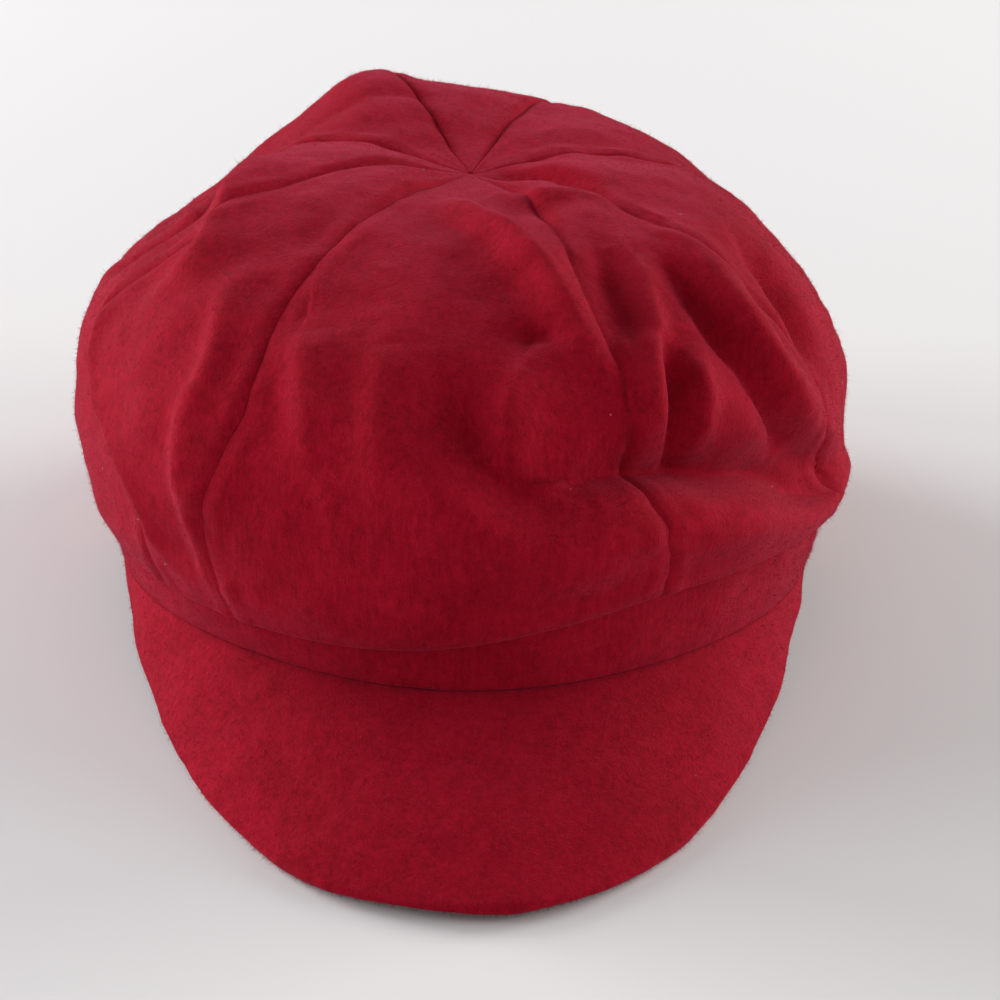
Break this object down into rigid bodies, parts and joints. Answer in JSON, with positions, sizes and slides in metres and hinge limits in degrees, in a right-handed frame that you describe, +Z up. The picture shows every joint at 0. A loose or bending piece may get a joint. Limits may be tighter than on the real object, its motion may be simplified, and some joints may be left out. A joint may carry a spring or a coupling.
{
  "type": "wool newsboy cap",
  "caption": "Soft wool newsboy cap with a full panelled crown gathered over a narrow band, and a broad down-curved peak.",
  "frame": {"origin": "on the surface it stands on, under the middle of the cap's outline", "axes": "+Z up, the peak points along -Y, +X is to the right as seen from in front of the peak"},
  "size_m": [0.1842, 0.2678, 0.1079],
  "materials": {
    "wool": "felted wool with a short soft nap"
  },
  "bodies": {
    "root": {"crown_panel_back_left": "wool", "crown_panel_left": "wool", "crown_panel_front_left": "wool", "crown_panel_front": "wool", "crown_panel_front_right": "wool", "crown_panel_right": "wool", "crown_panel_back_right": "wool", "crown_panel_back": "wool", "band": "wool", "peak": "wool"}
  },
  "joints": []
}
